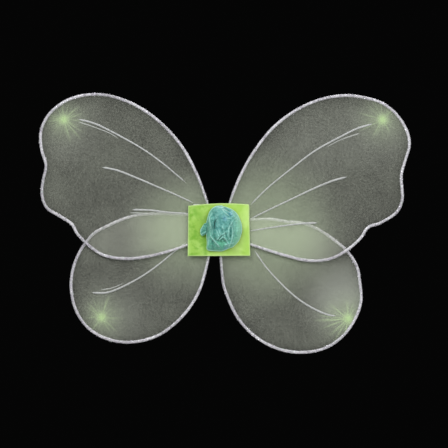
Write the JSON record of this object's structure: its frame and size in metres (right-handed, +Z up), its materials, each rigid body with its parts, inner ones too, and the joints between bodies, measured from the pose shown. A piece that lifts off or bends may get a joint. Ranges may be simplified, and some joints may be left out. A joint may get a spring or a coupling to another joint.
{
  "type": "fairy wings",
  "caption": "Child's costume wings: sheer nylon wings on bent wire loops, a green fabric patch with a ribbon rose, and elastic shoulder straps.",
  "frame": {"origin": "centre of the back patch's rear face, which lies on the wearer's back", "axes": "+X to the right as seen from the rose side, +Y towards the wearer, +Z up"},
  "size_m": [0.4706, 0.14, 0.3308],
  "materials": {
    "green_fabric": "lime green woven fabric",
    "card": "plain stiff board",
    "wire": "soft drawn steel wire",
    "nylon": "sheer white nylon stocking with green sprayed dye",
    "glitter": "dried pearl glitter glue",
    "tape": "white cloth tape",
    "elastic": "white flat knitted elastic",
    "thread": "polyester sewing thread",
    "glue": "set hot glue",
    "ribbon": "teal organza ribbon with a soft sheen"
  },
  "bodies": {
    "root": {"front_patch": "green_fabric", "back_patch": "green_fabric", "stiffener_card": "card", "wire_tape_left": "tape", "wire_tape_right": "tape", "wire_tape_top": "tape", "wire_tape_bottom": "tape", "rose_glue_pad": "glue", "rose_outer_ribbon": "ribbon", "rose_middle_ribbon": "ribbon", "rose_bud": "ribbon", "rose_tail": "ribbon", "left_strap_tab_top": "elastic", "left_bartack_top": "thread", "left_strap_tab_bottom": "elastic", "left_bartack_bottom": "thread", "right_strap_tab_top": "elastic", "right_bartack_top": "thread", "right_strap_tab_bottom": "elastic", "right_bartack_bottom": "thread", "left_upper_wire_root": "wire", "left_upper_rim_coat_root": "glitter", "left_upper_nylon_root": "nylon", "right_upper_wire_root": "wire", "right_upper_rim_coat_root": "glitter", "right_upper_nylon_root": "nylon", "left_lower_wire_root": "wire", "left_lower_rim_coat_root": "glitter", "left_lower_nylon_root": "nylon", "right_lower_wire_root": "wire", "right_lower_rim_coat_root": "glitter", "right_lower_nylon_root": "nylon"},
    "left_upper_wing": {"left_upper_wire": "wire", "left_upper_rim_coat": "glitter", "left_upper_nylon": "nylon", "left_upper_vein_top": "glitter", "left_upper_vein_middle": "glitter", "left_upper_vein_low": "glitter"},
    "right_upper_wing": {"right_upper_wire": "wire", "right_upper_rim_coat": "glitter", "right_upper_nylon": "nylon", "right_upper_vein_top": "glitter", "right_upper_vein_middle": "glitter", "right_upper_vein_low": "glitter"},
    "left_lower_wing": {"left_lower_wire": "wire", "left_lower_rim_coat": "glitter", "left_lower_nylon": "nylon", "left_lower_vein_single": "glitter"},
    "right_lower_wing": {"right_lower_wire": "wire", "right_lower_rim_coat": "glitter", "right_lower_nylon": "nylon", "right_lower_vein_single": "glitter"},
    "left_strap": {"left_strap": "elastic"},
    "right_strap": {"right_strap": "elastic"}
  },
  "joints": [
    {"name": "left_wing_fold", "type": "hinge", "parent": "root", "child": "left_upper_wing", "pos_m": [-0.04, -0.0116, 0], "axis": [0, 0, 1], "range_deg": [-12, 80]},
    {"name": "left_lower_fold", "type": "hinge", "parent": "root", "child": "left_lower_wing", "pos_m": [-0.04, -0.0116, 0], "axis": [0, 0, 1], "range_deg": [-12, 80]},
    {"name": "right_wing_fold", "type": "hinge", "parent": "root", "child": "right_upper_wing", "pos_m": [0.04, -0.0116, 0], "axis": [0, 0, -1], "range_deg": [-12, 80]},
    {"name": "right_lower_fold", "type": "hinge", "parent": "root", "child": "right_lower_wing", "pos_m": [0.04, -0.0116, 0], "axis": [0, 0, -1], "range_deg": [-12, 80]},
    {"name": "left_strap_swing", "type": "hinge", "parent": "root", "child": "left_strap", "pos_m": [-0.028, -0.0018, 0], "axis": [0, 0, 1], "range_deg": [-10, 40]},
    {"name": "right_strap_swing", "type": "hinge", "parent": "root", "child": "right_strap", "pos_m": [0.028, -0.0018, 0], "axis": [0, 0, -1], "range_deg": [-10, 40]}
  ],
  "couplings": [
    {"joint": "left_lower_fold", "follows": "left_wing_fold", "ratio": 1},
    {"joint": "right_lower_fold", "follows": "right_wing_fold", "ratio": 1}
  ]
}
